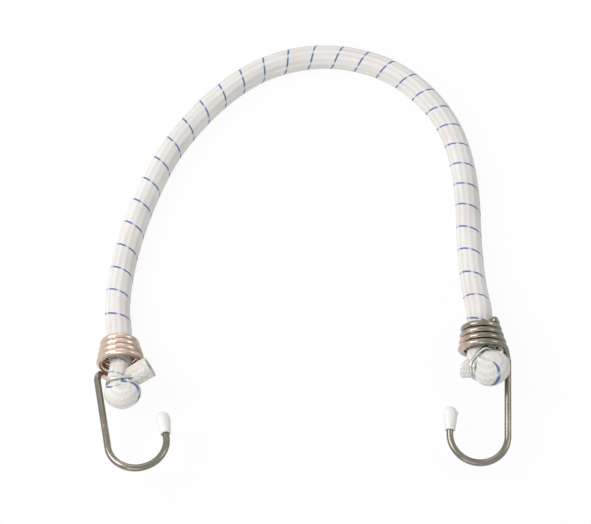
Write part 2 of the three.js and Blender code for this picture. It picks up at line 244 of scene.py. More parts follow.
class MeshParts:
    """Collects grids of points as one mesh, with a UV map of turn and length, and attributes."""

    def __init__(self) -> None:
        """Starts empty."""
        self.points: list[Array] = []
        self.faces: list[Array] = []
        self.uvs: list[Array] = []
        self.marks: list[Array] = []
        self.count = 0

    def add_tube(self, rings: Array, along: Array, marks: Array | None = None) -> "MeshParts":
        """Adds the skin through rings, and closes each end by a fan about its middle.

        Args:
            rings: Points of shape (rings, sides, 3).
            along: The V coordinate of each ring.
            marks: A value of each point for the attribute "mark", of shape (rings, sides).

        Returns:
            This collection.
        """
        n, m, _ = rings.shape
        if marks is None:
            marks = np.zeros((n, m))
        i, k = np.meshgrid(np.arange(n - 1), np.arange(m), indexing="ij")
        a, b = i * m + k, i * m + (k + 1) % m
        quads = np.stack([a, b, b + m, a + m], axis=-1).reshape(-1, 4)
        turn = np.stack([k, k + 1, k + 1, k], axis=-1).reshape(-1, 4) / m
        length = np.stack([along[i], along[i], along[i + 1], along[i + 1]], axis=-1)
        uvs = [np.stack([turn, length.reshape(-1, 4)], axis=-1)]
        k = np.arange(m)
        first = np.stack([(k + 1) % m, k, np.full(m, n * m), np.full(m, n * m)], axis=-1)
        last = np.stack([k, (k + 1) % m], axis=-1) + (n - 1) * m
        last = np.concatenate([last, np.full((m, 2), n * m + 1)], axis=-1)
        for end in (along[0], along[-1]):
            uvs.append(np.stack([np.stack([k, k + 1, k + 1, k], -1) / m, np.full((m, 4), end)], -1))
        points = np.vstack([rings.reshape(-1, 3), rings[0].mean(axis=0), rings[-1].mean(axis=0)])
        faces, uv = np.concatenate([quads, first, last]), np.concatenate(uvs)
        p = points[faces]
        normal = np.cross(p[:, 1] - p[:, 0], p[:, 2] - p[:, 0])
        if np.einsum("ij,ij->", p[:, 0], normal) < 0:
            faces, uv = faces[:, ::-1], uv[:, ::-1]
        self.points.append(points)
        self.faces.append(faces + self.count)
        self.uvs.append(uv)
        self.marks.append(np.append(marks, [marks[0].mean(), marks[-1].mean()]))
        self.count += len(points)
        return self

    def build(self, name: str, material: Material) -> Piece:
        """Makes the mesh object, in metres, at the origin.

        Args:
            name: The piece's name.
            material: Its finish.

        Returns:
            The object, linked to the scene.
        """
        quads = np.concatenate(self.faces)
        keep = np.ones(quads.shape, bool)
        keep[:, 3] = quads[:, 2] != quads[:, 3]
        keep[:, 1] = quads[:, 0] != quads[:, 1]
        corners = quads[keep]
        counts = keep.sum(axis=1)
        starts = np.concatenate([[0], np.cumsum(counts)[:-1]])
        mesh = bpy.data.meshes.new(name)
        points = np.concatenate(self.points) * MM
        mesh.vertices.add(len(points))
        mesh.vertices.foreach_set("co", points.astype(np.float32).ravel())
        mesh.loops.add(len(corners))
        mesh.loops.foreach_set("vertex_index", corners.astype(np.int32))
        mesh.polygons.add(len(counts))
        mesh.polygons.foreach_set("loop_start", starts.astype(np.int32))
        mesh.polygons.foreach_set("use_smooth", np.ones(len(counts), bool))
        layer = mesh.uv_layers.new(name="UVMap")
        layer.uv.foreach_set("vector", np.concatenate(self.uvs)[keep].astype(np.float32).ravel())
        mark = mesh.attributes.new("mark", "FLOAT", "POINT")
        mark.data.foreach_set("value", np.concatenate(self.marks).astype(np.float32))
        mesh.update(calc_edges=True)
        mesh.validate()
        mesh.materials.append(material)
        log.info("%s: %d faces", name, len(counts))
        return new_object(name, mesh)


# Finishes


class Sheet:
    """A node tree, with short calls for the nodes that the finishes are made of."""

    def __init__(self, owner: bpy.types.ID, shader: str) -> None:
        """Gives a new material or world its nodes, of which one is the shader."""
        owner.use_nodes = True
        self.tree = owner.node_tree
        self.shader = self.tree.nodes[shader]

    def node(self, kind: str, inputs: dict | None = None, **settings: object) -> bpy.types.Node:
        """Adds a node of a kind, sets its properties and feeds its inputs."""
        node = self.tree.nodes.new(kind)
        for key, value in settings.items():
            setattr(node, key, value)
        for key, value in (inputs or {}).items():
            self.feed(node.inputs[key], value)
        return node

    def feed(self, socket: Socket, value: object) -> None:
        """Links a socket to another, or sets its value."""
        if isinstance(value, Socket):
            self.tree.links.new(value, socket)
        else:
            socket.default_value = value

    def calc(self, operation: str, a: object, b: object = 0.0, c: object = 0.0) -> Socket:
        """The result of a Math node, on numbers or sockets."""
        return self.node("ShaderNodeMath", {0: a, 1: b, 2: c}, operation=operation).outputs[0]

    add = partialmethod(calc, "ADD")
    minus = partialmethod(calc, "SUBTRACT")
    times = partialmethod(calc, "MULTIPLY")

    def blend(self, share: object, a: object, b: object) -> Socket:
        """Mixes two colours by a share from 0 to 1 and returns the colour's socket."""
        return self.node("ShaderNodeMix", {0: share, 6: a, 7: b}, data_type="RGBA").outputs[2]

    def between(
        self, value: object, low: float, high: float, to: tuple[float, float] = (0.0, 1.0),
    ) -> Socket:
        """Maps low to high onto a range, smoothly and held at its ends."""
        inputs = {"Value": value, "From Min": low, "From Max": high, "To Min": to[0], "To Max": to[1]}
        return self.node("ShaderNodeMapRange", inputs, interpolation_type="SMOOTHSTEP").outputs[0]

    def noise(self, where: object, scale: float, detail: float = 3.0, rough: float = 0.5) -> Socket:
        """Value of a noise texture."""
        inputs = {"Vector": where, "Scale": scale, "Detail": detail, "Roughness": rough}
        return self.node("ShaderNodeTexNoise", inputs).outputs["Fac"]

    def seen_white(self) -> Socket:
        """1 for rays from the camera, off shiny faces and through clear ones, and 0 for others."""
        rays = self.node("ShaderNodeLightPath").outputs
        seen = self.calc("MAXIMUM", rays["Is Camera Ray"], rays["Is Glossy Ray"])
        return self.calc("MAXIMUM", seen, rays["Is Transmission Ray"])

    def on_object(self) -> Socket:
        """Object coordinates, in metres."""
        return self.node("ShaderNodeTexCoord").outputs["Object"]

    def uv(self) -> tuple[Socket, Socket]:
        """The piece's UV map: the turn round the section, and the length along it."""
        node = self.node("ShaderNodeUVMap", uv_map="UVMap")
        split = self.node("ShaderNodeSeparateXYZ", {0: node.outputs[0]})
        return split.outputs[0], split.outputs[1]

    def vector(self, x: object, y: object, z: object = 0.0) -> Socket:
        """A vector of three numbers or sockets."""
        return self.node("ShaderNodeCombineXYZ", {0: x, 1: y, 2: z}).outputs[0]

    def mark(self) -> Socket:
        """The piece's attribute "mark"."""
        return self.node("ShaderNodeAttribute", attribute_name="mark").outputs["Fac"]

    def bump(self, height: object, strength: float, distance: float) -> None:
        """Bumps the shader's surface by a height times a distance in millimetres."""
        inputs = {"Strength": strength, "Distance": distance * MM, "Height": height}
        self.feed(self.shader.inputs["Normal"], self.node("ShaderNodeBump", inputs).outputs[0])

    def set(self, **values: object) -> None:
        """Sets the shader's own sockets, named with _ for a space."""
        for key, value in values.items():
            self.feed(self.shader.inputs[key.replace("_", " ")], value)


class Finish:
    """What the finishes share: each draws its look on a sheet."""

    def material(self, name: str) -> Material:
        """Makes a material and draws the finish on it."""
        material = bpy.data.materials.new(name)
        self.draw(Sheet(material, "Principled BSDF"))
        return material


@dataclass(frozen=True)
class BraidFinish(Finish):
    """Yarn braid that wraps the cord at a steep angle, two over and two under.

    Along the sleeve V counts turns of the tracer, and U goes once round from 0 to 1. The yarns of
    the two families are the whole parts of a = n(V + U) and b = n(V - U), and the fractions say
    where a point lies across its yarn. The first family lies on top where (a - b) mod 4 is below 2.
    Where yarns of one family come up they make n ribs along the cord, which rise as
    cos^2(pi (nU - 1/4)), and the tracer comes up on every second rib. The colour paints shade:
    it is darker at the edges of each yarn and in the valleys between the ribs.
    """

    # light and shade are the lit and the shaded yarn: the tone between them paints shade, besides the
    # yarn's own random tone.
    light: Colour = (0.89, 0.86, 0.83, 1)
    shade: Colour = (0.66, 0.63, 0.60, 1)
    tracer: Colour = (0.075, 0.155, 0.40, 1)
    soil: Colour = (0.56, 0.51, 0.40, 1)

    def draw(self, s: Sheet) -> None:
        """Draws the finish."""
        u, v = s.uv()
        n = float(RIBS)
        a, b = s.times(s.add(v, u), n), s.times(s.minus(v, u), n)
        yarns_apart = s.minus(s.calc("FLOOR", a), s.calc("FLOOR", b))
        over = s.calc("LESS_THAN", s.calc("FLOORED_MODULO", yarns_apart, 4.0), 1.5)
        under = s.minus(1.0, over)

        def on_top(first: Socket, second: Socket) -> Socket:
            """The value of the family that lies on top."""
            return s.add(s.times(first, over), s.times(second, under))

        crown_a = self._crown(s, a)
        top = on_top(crown_a, self._crown(s, b))
        hairs = on_top(*(
            s.noise(s.vector(s.times(p, 5.0), s.times(q, 0.5), place), 1.0, 2.0)
            for p, q, place in ((a, b, 0.0), (b, a, 3.0))
        ))
        across = s.minus(s.times(u, n), 0.25)
        ribs = s.calc("COSINE", s.times(across, 2 * math.pi))
        ribs = s.times(s.add(ribs, 1.0), 0.5)
        uneven = s.noise(s.vector(s.times(u, n * 0.8), s.times(v, 0.3), 7.0), 1.0, 1.0)
        grime = s.noise(s.on_object(), 60.0, 4.0)
        # Painted shade: the tone falls at the edges of each yarn (top) and in the valleys between the ribs
        # (ribs); hairs, uneven and grime are the yarn's own random tone.
        tone_and_painted_shade = s.add(s.times(top, 0.26), s.times(hairs, 0.24))
        tone_and_painted_shade = s.add(tone_and_painted_shade, s.times(ribs, 0.2))
        tone_and_painted_shade = s.add(tone_and_painted_shade, s.between(uneven, 0.35, 0.65, (0.0, 0.14)))
        tone_and_painted_shade = s.minus(tone_and_painted_shade, s.between(grime, 0.45, 0.75, (0.0, 0.15)))
        colour = s.blend(s.between(tone_and_painted_shade, 0.05, 0.8), self.shade, self.light)
        stains = s.between(s.noise(s.on_object(), 420.0, 4.0, 0.6), 0.38, 0.68)
        colour = s.blend(s.times(s.mark(), stains), colour, self.soil)
        first = s.calc("LESS_THAN", s.calc("FLOORED_MODULO", s.calc("FLOOR", a), n), 0.5)
        apart = s.calc("FRACT", s.add(s.times(across, 0.5), 0.5))
        apart = s.calc("ABSOLUTE", s.minus(apart, 0.5))
        shown = s.between(apart, 0.30, 0.44, (0.95, 0.3))
        edge = s.between(crown_a, 0.05, 0.40)
        blue = s.times(s.times(first, shown), edge)
        s.set(Base_Color=s.blend(blue, colour, self.tracer), Roughness=0.82)
        s.set(Sheen_Weight=0.25, Sheen_Roughness=0.5, Specular_IOR_Level=0.3)
        height = s.add(s.times(top, 0.7), s.times(hairs, 0.3))
        s.bump(height, 0.4, 0.14)

    def _crown(self, s: Sheet, across: Socket) -> Socket:
        """Height across a yarn: 1 - (2f - 1)^2, where f is the fraction of the way across."""
        middle = s.minus(s.times(s.calc("FRACT", across), 2.0), 1.0)
        return s.minus(1.0, s.times(middle, middle))


@dataclass(frozen=True)
class RubberFinish(Finish):
    """Matt natural rubber with a fine dust of talc."""

    colour: Colour = (0.62, 0.56, 0.43, 1)
    talc: Colour = (0.78, 0.75, 0.68, 1)

    def draw(self, s: Sheet) -> None:
        """Draws the finish."""
        where = s.on_object()
        dust = s.noise(where, 900.0, 4.0, 0.6)
        s.set(Base_Color=s.blend(s.between(dust, 0.4, 0.65), self.colour, self.talc))
        s.set(Roughness=0.75)
        s.bump(s.noise(where, 2600.0, 3.0), 0.3, 0.08)


@dataclass(frozen=True)
class WireFinish(Finish):
    """Drawn steel wire under a thin plating, with fine lines along it and a mottled tint.

    The piece's mark says how much of the second tint shows, and patches come from noise. On the
    hooks the mark is painted light: the lighter second tint on the coils' left sides.
    """

    colour: Colour
    second: Colour
    dull: Colour
    roughness: float = 0.24
    patches: float = 0.5

    def draw(self, s: Sheet) -> None:
        """Draws the finish."""
        u, v = s.uv()
        where = s.on_object()
        cloud = s.noise(where, 170.0, 3.0, 0.55)
        lines = s.noise(s.vector(s.times(u, 60.0), s.times(v, 0.16)), 1.0, 4.0, 0.65)
        fine = s.noise(where, 1500.0, 2.0)
        shift = s.between(cloud, 0.3, 0.7, (-self.patches / 2, self.patches / 2))
        # On the hooks the mark paints light: the lighter second tint on the coils' left sides; the cloud's
        # patches are the plating's own mottling.
        tint_and_painted_light = s.blend(s.between(s.add(s.mark(), shift), 0.05, 0.95), self.colour, self.second)
        worn = s.between(lines, 0.52, 0.78, (0.0, 0.5))
        s.set(Base_Color=s.blend(worn, tint_and_painted_light, self.dull), Metallic=1.0)
        rough = s.add(s.between(lines, 0.35, 0.75, (0.0, 0.16)), s.between(fine, 0.4, 0.7, (0.0, 0.07)))
        s.set(Roughness=s.add(rough, self.roughness))
        s.bump(s.add(lines, s.times(fine, 0.4)), 0.22, 0.05)


@dataclass(frozen=True)
class CapFinish(Finish):
    """Soft off-white plastic, slightly see-through at its edges and a little scuffed."""

    colour: Colour = (0.83, 0.83, 0.80, 1)
    scuff: Colour = (0.66, 0.65, 0.61, 1)

    def draw(self, s: Sheet) -> None:
        """Draws the finish."""
        where = s.on_object()
        wear = s.noise(where, 420.0, 5.0, 0.62)
        s.set(Base_Color=s.blend(s.between(wear, 0.52, 0.75, (0.0, 0.55)), self.colour, self.scuff))
        s.set(Roughness=s.between(wear, 0.3, 0.7, (0.34, 0.52)), Coat_Weight=0.15, Coat_Roughness=0.3)
        s.set(Subsurface_Weight=0.2, Subsurface_Scale=0.0012, Subsurface_Radius=(1.0, 0.9, 0.8))
        s.bump(s.noise(where, 700.0, 3.0), 0.2, 0.1)


@dataclass(frozen=True)
class PaperFinish(Finish):
    """White ground that camera rays and reflections see as white, with the object's shadow kept."""

    colour: Colour = (0.9, 0.9, 0.9, 1)
    white_share: float = 0.94

    def draw(self, s: Sheet) -> None:
        """Draws the finish."""
        s.set(Base_Color=self.colour, Roughness=0.9)
        glow = s.node("ShaderNodeEmission")
        share = s.times(s.seen_white(), self.white_share)
        mix = s.node("ShaderNodeMixShader", {0: share, 1: s.shader.outputs[0], 2: glow.outputs[0]})
        s.feed(s.tree.nodes["Material Output"].inputs["Surface"], mix.outputs[0])


class Finishes:
    """The finishes of the object, one material each."""

    def __init__(self) -> None:
        """Makes the materials."""
        self.braid = BraidFinish().material("white braided sleeve")
        self.rubber = RubberFinish().material("natural rubber threads")
        # The hook's second tint is much lighter than its colour: where the mark sets it on the coils' left
        # sides it is painted light, partly the plating's own pinkish tint.
        self.hook = WireFinish(
            colour=(0.20, 0.187, 0.152, 1), second=(0.66, 0.51, 0.43, 1), dull=(0.14, 0.13, 0.10, 1),
            roughness=0.13,
        ).material("yellow zinc plated wire")
        self.clip = WireFinish(
            colour=(0.50, 0.52, 0.48, 1), second=(0.60, 0.60, 0.55, 1), dull=(0.32, 0.33, 0.30, 1),
            roughness=0.2, patches=0.3,
        ).material("bright zinc plated wire")
        self.cap = CapFinish().material("soft off-white plastic")



# The ends


@dataclass(frozen=True)
class EndFrame:
    """Where an end stands: local Y is the coil's axis, from the mouth turn towards the cord."""

    origin: Array
    axes: Array

    @classmethod
    def from_joint(cls, name: str) -> "EndFrame":
        """Reads the mouth's centre and the coil's axis from the frame's swivel joint."""
        joint = next(j for j in frame["record"]["behaviour"]["joints"] if j["name"] == name)
        y = unit(np.array(joint["axis"], float))
        x = unit(np.cross(y, UP))
        return cls(np.array(joint["pos_m"], float) / MM, np.stack([x, y, np.cross(x, y)]))

    def place(self, points: Array) -> Array:
        """Local points in the row frame, in millimetres."""
        return self.origin + points @ self.axes

    def on_axis(self, y: float) -> Array:
        """The point of the coil's axis at a height above the mouth turn."""
        return self.place(np.array([0.0, y, 0.0]))


@dataclass
class WireHook:
    """One wire: a left-handed coil that flares to its mouth, an elbow, the leg, the hook, the tip."""

    side: Side
    stand: EndFrame
    flare: float = 1.1
    leg_offset: float = 9.2
    elbow: float = 5.0
    leg_length: float = 30.5
    leg_lean: float = 5.7
    bend_radius: float = 11.0
    tip_length: float = 8.1
    cut_angle: float = 23.0
    full_turns: int = 3
    sides: int = 28
    spacing: float = 0.42
    end_round: float = 0.5
    cap_length: float = 9.5
    cap_rim: float = 2.1
    cap_dome: float = 2.76
    cap_depth: float = 6.85
    cap_room: float = 0.06
    cap_wall_share: float = 0.62
    lug_height: float = 7.0
    lug_rise: float = 0.45
    # The blush is painted light: a lighter, pinkish tint on the coil's left side, towards the left lamp,
    # partly the plating's own colour; painted_light_blush_far is what of it is left at the right.
    painted_light_blush: float = 0.9
    painted_light_blush_far: float = 0.15

    def turned(self, points: Array) -> Array:
        """The left hook is the same part, turned half round about the coil's axis."""
        return self.stand.place(points * np.array([self.side.leg, 1, self.side.leg]))

    def leg_points(self, aside: Array, down: Array) -> Array:
        """Points in the plane of the leg, which leans in from the elbow's end.

        The point (aside, -down) is turned by the lean about z and then moved to the elbow's end.
        """
        lean = -math.radians(self.leg_lean)
        aside, down = np.broadcast_arrays(np.asarray(aside, float), np.asarray(down, float))
        x = aside * math.cos(lean) + down * math.sin(lean) + self.leg_offset
        y = aside * math.sin(lean) - down * math.cos(lean) - self.elbow
        return np.stack([x, y, np.zeros(x.shape)], axis=-1)

    def centreline(self) -> tuple[Array, Array]:
        """The wire's line from the coil's cut end to the tip, and its outward directions.

        Coil: at angle w from the leg's side, y falls evenly from the coil's length to 0, and the
        radius is throat + wire + flare * share^1.1. Elbow: the angle's rest fades with the sine of
        the bend while the radius grows to the leg's offset. Hook: a half circle in the plane z = 0.

        Returns:
            Points and directions away from the bend's middle, of shape (n, 3) each, in the hook's
            own frame.
        """
        elbow_turn = 2 * self.elbow / (COIL_MOUTH + self.leg_offset)
        coil_turn = math.radians(self.cut_angle + 360 * (self.full_turns + 1)) - elbow_turn
        share = np.linspace(0, 1, 400)
        angle = elbow_turn + coil_turn * (1 - share)
        radius = COIL_THROAT + WIRE_RADIUS + (COIL_MOUTH - COIL_THROAT - WIRE_RADIUS) * share**self.flare
        length = COIL_PITCH * coil_turn / (2 * math.pi)
        coil = np.stack([radius * np.cos(angle), length * (1 - share), radius * np.sin(angle)], 1)
        stub = coil[:1] + unit(coil[:1] - coil[1:2]) * 2 * WIRE_RADIUS
        bend = np.linspace(0, math.pi / 2, 24)[1:]
        angle = elbow_turn * (1 - np.sin(bend))
        radius = COIL_MOUTH + (self.leg_offset - COIL_MOUTH) * (1 - np.cos(bend))
        y = -self.elbow * (1 - np.cos(bend))
        elbow = np.stack([radius * np.cos(angle), y, radius * np.sin(angle)], 1)
        leg = self.leg_points(0, np.linspace(0, self.leg_length, 12)[1:-1])
        bend = np.linspace(0, math.pi, 60)
        side, drop = self.bend_radius * np.cos(bend), self.bend_radius * np.sin(bend)
        hook = self.leg_points(side - self.bend_radius, self.leg_length + drop)
        tip = self.leg_points(-2 * self.bend_radius, self.leg_length - self.tip_length)[None, :]
        round_coil = np.vstack([stub, coil, elbow]) * np.array([1, 0, 1])
        middle = self.leg_points(-self.bend_radius, self.leg_length)
        aside = self.leg_points(1, 0) - self.leg_points(0, 0)
        outward = np.vstack([
            round_coil, np.repeat(aside[None, :], len(leg), axis=0), hook - middle, hook[-1:] - middle,
        ])
        return np.vstack([stub, coil, elbow, leg, hook, tip]), unit(outward)

    def build_wire(self, finish: Material) -> Piece:
        """Sweeps a round section along the wire's line, with its sheared end a little rounded.

        The mark, which shows the second tint, is the blush on the coil and 0 from the elbow on. The
        blush is painted light, partly the plating's own pinkish tint: the second tint is much lighter
        than the wire's colour, and it grows where the skin faces left or down and where the coil's turn
        is on the left, towards the left lamp, and the far share is what is left of each of the two at
        the right.

        Returns:
            The wire's object.
        """
        both, along = evenly(np.hstack(self.centreline()), self.spacing)
        line, outward = both[:, :3], both[:, 3:]
        direction = tangents(line)
        v = unit(np.cross(direction, unit(outward)))
        u = np.cross(v, direction)
        _, cos, sin = round_section(self.sides)
        radius = WIRE_RADIUS * np.minimum(1, 0.8 + 0.2 * np.sqrt(np.clip(along / self.end_round, 0, 1)))
        sweep = Sweep(line, u, v, along)
        rings = sweep.rings(radius[:, None] * cos, radius[:, None] * sin)
        world = self.turned(rings)
        centres = self.turned(line)
        facing = unit(world - centres[:, None, :])
        # Painted light: the marks set the lighter second tint where the skin faces left or down and on the
        # left of each turn, towards the left lamp.
        coiled = smooth_step((line[:, 1] + self.elbow) / self.elbow)[:, None]
        left_side = 0.5 - 0.5 * facing[..., 0] - 0.25 * facing[..., 2]
        radial = unit(np.stack([line[:, 0], 0 * along, line[:, 2]], 1)) * self.side.leg
        round_left = smooth_step(0.5 - 0.75 * radial[:, 0])[:, None]
        far = self.painted_light_blush_far
        shares = (far + (1 - far) * left_side) * (far + (1.35 - far) * round_left)
        marks = np.clip(self.painted_light_blush * coiled * shares, 0, 1)
        return MeshParts().add_tube(world, along, marks).build(f"{self.side.value}_wire_hook", finish)

    def build_cap(self, finish: Material) -> Piece:
        """Turns the cap's profile about the tip: a wall that widens from its rim, and a dome.

        The wall's radius is rim + (dome - rim) * smoothstep(height / 0.62 length). The dome is a
        quarter of an oval. The socket runs back inside from the rim. A small lug from moulding
        stands on one side.

        Returns:
            The cap's object.
        """
        dome_from = self.cap_length - self.cap_dome * 1.1
        wall_y = np.linspace(0, dome_from, 24)
        widened = smooth_step(wall_y / (self.cap_wall_share * self.cap_length))
        wall_r = self.cap_rim + (self.cap_dome - self.cap_rim) * widened
        swing = np.linspace(0, math.pi / 2, 16)[1:-1]
        dome_y = dome_from + (self.cap_length - dome_from) * np.sin(swing)
        dome_r = self.cap_dome * np.cos(swing) ** 0.85
        inner_y = np.array([self.cap_depth, self.cap_depth - 0.2, 0.0, 0.0])
        bore = WIRE_RADIUS + self.cap_room
        inner_r = np.array([0.4, bore, bore, self.cap_rim - 0.2])
        y = np.concatenate([inner_y, wall_y + np.where(wall_y == 0, 0.12, 0.0), dome_y])
        r = np.concatenate([inner_r, wall_r, dome_r])
        _, cos, sin = round_section(40)
        shape = (len(y), 40)
        lug = np.exp(-(((y - self.lug_height) / 0.6) ** 2))[:, None] * np.exp(-(((cos - 1) / 0.05) ** 2))
        reach = r[:, None] + self.lug_rise * lug * (r > self.cap_rim)[:, None]
        down = self.leg_length - self.tip_length + self.cap_depth - y
        rings = self.leg_points(reach * cos - 2 * self.bend_radius, np.broadcast_to(down[:, None], shape))
        rings[..., 2] = reach * sin
        return MeshParts().add_tube(self.turned(rings), y).build(f"{self.side.value}_soft_cap", finish)

    def build(self, finishes: Finishes) -> None:
        """Builds the wire and its cap, and lets both ride on the hook's body."""
        prefix = self.side.value
        for piece, node, slot in (
            (self.build_wire(finishes.hook), f"{prefix}_hook_wire", "hook_steel"),
            (self.build_cap(finishes.cap), f"{prefix}_tip_cap", "cap_plastic"),
        ):
            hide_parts(node)
            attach(piece, f"{prefix}_hook")


@dataclass
class FoldedEnd:
    """The cord's end: through the coil, pinched by the clip, folded back and pinched again.

    Local Y is the coil's axis, and the fold's plane is turned by the yaw and raised by the rise.
    """

    side: Side
    stand: EndFrame
    fold_yaw: float
    fold_rise: float
    clip_reach: float
    fold_shift: float
    clip_to_fold: float
    tail_out: float
    tail_up: float
    pinch_reach: float
    cut_reach: float
    pinch_share: float
    pinch_height: float
    cut_normal: tuple[float, float, float] = (0.0, 0.0, 1.0)
    stripes: Stripes = ((0, 0),)
    clip_lap: float = 100.0
    fray: float = 0.5
    neck: float = 0.9
    limb_above: float = 3.3
    tail_half: float = 3.4
    ball_height: float = 5.0
    cut_half: float = 4.1
    ball_shift: float = 0.0
    pinch_at: float = 0.0
    clip_grow: float = 0.0
    clip_bow: float = 0.35
    soil: float = 0.6
    fold_radius: float = 3.6
    limb_half: float = 3.55
    clip_half: float = 2.4
    clip_wire: float = 0.65
    limb_room: float = 0.1
    grip_height: float = 4.05
    spacing: float = 0.5
    wall_depth: float = 5.0
    pucker_reach: float = 3.6
    fray_count: int = 60
    fray_radius: float = 0.17

    def directions(self) -> tuple[Array, Array, Array, Array]:
        """The fold's clip place, and its directions ahead, across and normal."""
        yaw, rise = math.radians(self.fold_yaw), math.radians(self.fold_rise)
        leg = self.side.leg
        ahead = np.array([leg * math.sin(yaw), -math.cos(yaw), 0]) * math.cos(rise)
        ahead[2] = math.sin(rise)
        across = np.array([-leg * math.cos(yaw), -math.sin(yaw), 0])
        normal = np.cross(across, ahead) * leg
        clip = np.array([-leg * self.fold_shift, -self.clip_reach, math.tan(rise) * self.clip_reach])
        return clip, ahead, across, normal

    def guide(self) -> Array:
        """The cord's line through the end, with its half widths.

        Returns:
            Points of shape (n, 6), namely the place, the half width across, the half height, and
            how flat the side towards the other limb is.
        """
        clip, ahead, across, _ = self.directions()
        out = np.array([-self.side.leg, 0, 0])
        offset = grip = self.clip_half + self.limb_room
        tall = self.ball_height
        throat = COIL_THROAT - 0.12

        def at(along: float, sideways: float) -> Array:
            """A point of the fold's plane, counted from the clip."""
            return clip + ahead * along + across * sideways

        bend, aside, pinch = self.fold_radius, self.ball_shift, self.pinch_at
        half = math.sqrt(0.5)
        ball = [
            (at(self.clip_to_fold + bend * cos, bend * sin - aside), self.limb_half, tall, 1)
            for cos, sin in ((0, -1), (half, -half), (1, 0), (half, half), (0, 1))
        ]
        half_out = at(-self.pinch_reach, offset) + out * self.tail_out * 0.5
        half_out[2] += self.tail_up * 0.5
        cut = at(-self.cut_reach, offset) + out * self.tail_out
        cut[2] += self.tail_up
        rows = [
            (np.array([0, COIL_LENGTH / 2 + 1, 0]), throat, throat, 0),
            (np.array([0, WIRE_RADIUS, 0]), self.neck * CORD_RADIUS, self.neck * CORD_RADIUS, 0),
            (at(-1.8 + pinch, -offset + 0.5), self.limb_above, 4.5, 0.2),
            (at(pinch, -offset), grip, self.grip_height, 0.8),
            (at(1.6 + pinch, -offset - 0.5 - aside), self.clip_half + 0.5, tall - 0.3, 0.95),
            *ball,
            (at(1.6 + pinch, offset + 0.5 - aside), self.clip_half + 0.5, tall - 0.3, 0.95),
            (at(0, offset), grip, self.grip_height, 0.8),
            (at(-2.4, offset + 0.3) - np.array([0, 0, 0.6]), self.tail_half, 3.8, 0.1),
            (half_out, self.pinch_share * CORD_RADIUS, self.pinch_height * CORD_RADIUS, 0),
            (cut, self.cut_half, self.cut_half * 1.1, 0),
        ]
        return np.array([[*p, a, b, c] for p, a, b, c in rows])

    def sweep(self, spacing: float) -> tuple[Sweep, Array]:
        """The end's sections from inside the coil to the cut.

        Args:
            spacing: Distance between sections.

        Returns:
            The sweep in the end's own frame, and each section's half width, half height and
            flatness, of shape (n, 3).
        """
        guide = self.guide()
        stops = np.linspace(0, len(guide) - 1, 600)
        dense = np.hstack([spline_through(guide[:, :3], stops), spline_through(guide[:, 3:], stops)])
        even, along = evenly(dense, spacing)
        _, _, _, normal = self.directions()
        sweep = Sweep.beside(even[:, :3], normal, along)
        return sweep, even[:, 3:]

    def section(self, shape: Array, sides: int) -> tuple[Array, Array]:
        """Oval section that is half of a dome where it lies against the other limb.

        From the outer edge the dome runs over the first 0.62 of the half turn with the angle w
        from 0 to a right angle, as q = 1 - cos w of the width and sin w of the height. Then it
        dips past the middle plane and runs straight down. The flatness mixes it with the oval.

        Args:
            shape: Half width, half height and flatness of each ring.
            sides: Number of points round a ring.

        Returns:
            x and y, of shape (rings, sides).
        """
        _, cos, sin = round_section(sides)
        part = np.arccos(np.clip(self.side.leg * cos, -1, 1)) / math.pi
        dome = np.clip(part / DOME_SHARE, 0, 1) * math.pi / 2
        past = np.array([DOME_SHARE, DOME_SHARE + 0.05, 1.0])
        share = np.where(part < DOME_SHARE, 1 - np.cos(dome), np.interp(part, past, [1, 1.08, 1.08]))
        rise = np.where(part < DOME_SHARE, np.sin(dome), np.interp(part, past, [1, 0.965, 0]))
        flat = shape[:, 2:3]
        x = shape[:, 0:1] * ((1 - flat) * cos + flat * self.side.leg * (1 - 2 * share))
        y = shape[:, 1:2] * ((1 - flat) * sin + flat * np.sign(sin) * rise)
        return x, y

    def tail_ahead(self, sweep: Sweep) -> Array:
        """Direction of the tail's last 2 mm."""
        back = [np.interp(sweep.along[-1] - 2.0, sweep.along, column) for column in sweep.place.T]
        return unit(sweep.place[-1] - np.array(back))

    def oblique(self, sweep: Sweep, x: Array, y: Array) -> Array:
        """The sweep's rings, the last of which slide along the tail until the end is the cut's plane.

        With d the tail's direction, n the cut's normal and r a point's place from its ring's
        middle, the point moves by -(n . r) / (n . d) along d, times a share that grows from 0 to 1
        over the last 7 mm.

        Args:
            sweep: The sweep, whose last section is the cut.
            x: The sections' x, of shape (rings, sides).
            y: The sections' y.

        Returns:
            The rings' points.
        """
        rings = sweep.rings(x, y)
        ahead = self.tail_ahead(sweep)
        normal = unit(np.array(self.cut_normal))
        share = smooth_step(1 - (sweep.along[-1] - sweep.along) / CUT_FADE)[:, None]
        slide = -(rings - sweep.place[:, None, :]) @ normal / float(normal @ ahead) * share
        return rings + slide[..., None] * ahead

